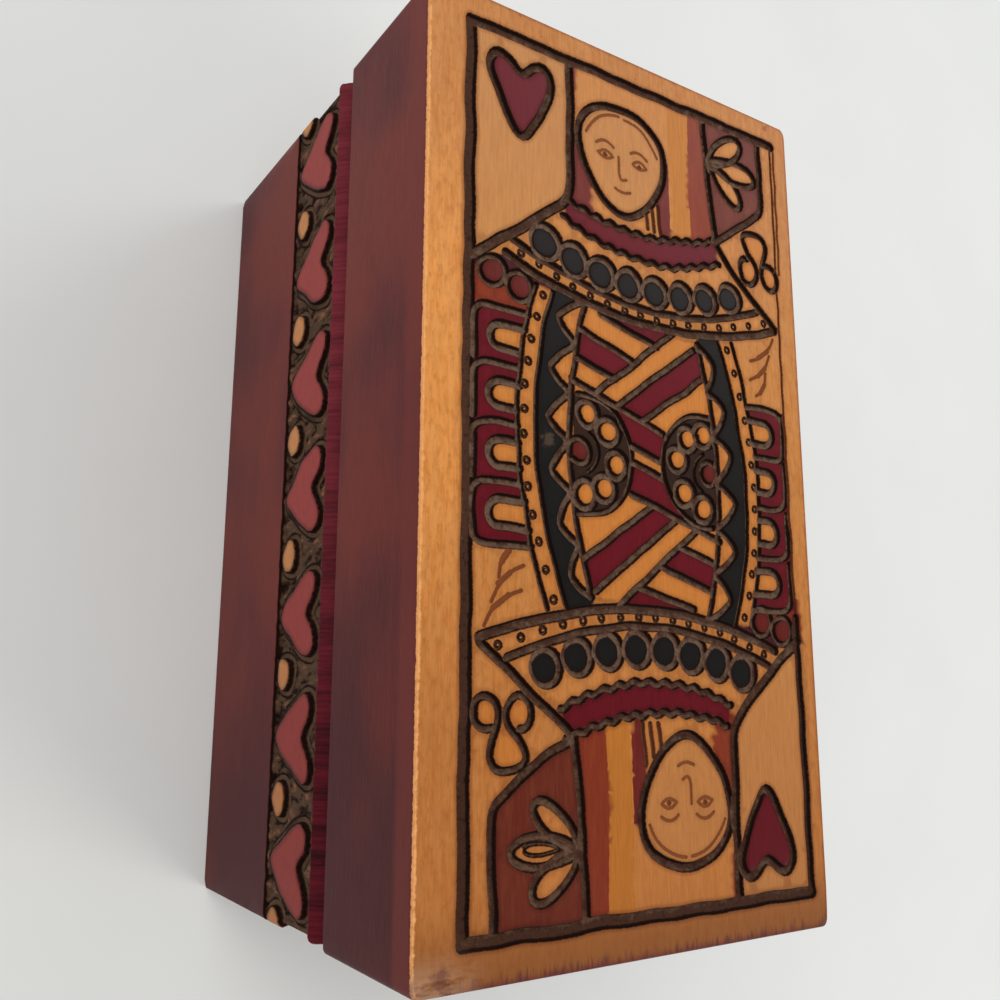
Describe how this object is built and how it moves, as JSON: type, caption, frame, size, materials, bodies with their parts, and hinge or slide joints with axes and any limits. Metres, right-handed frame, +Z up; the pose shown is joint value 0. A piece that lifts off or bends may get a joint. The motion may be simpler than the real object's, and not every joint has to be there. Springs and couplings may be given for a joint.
{
  "type": "playing card box",
  "caption": "Hollow wooden box with a thick lift-off lid, carved, burnt and dyed as a playing card, with a band of hearts round its body.",
  "frame": {"origin": "on the underside, below the middle of the box", "axes": "+Z up, +Y along the box towards the upper end of the card, +X to the card's right"},
  "size_m": [0.0826, 0.1524, 0.0889],
  "materials": {
    "dyed_wood": "dyed dark red-brown, satin",
    "carved_wood": "honey-coloured linden, burnt grooves and dyed fields, satin"
  },
  "bodies": {
    "root": {"box_body": "dyed_wood", "lid": "carved_wood"}
  },
  "joints": []
}
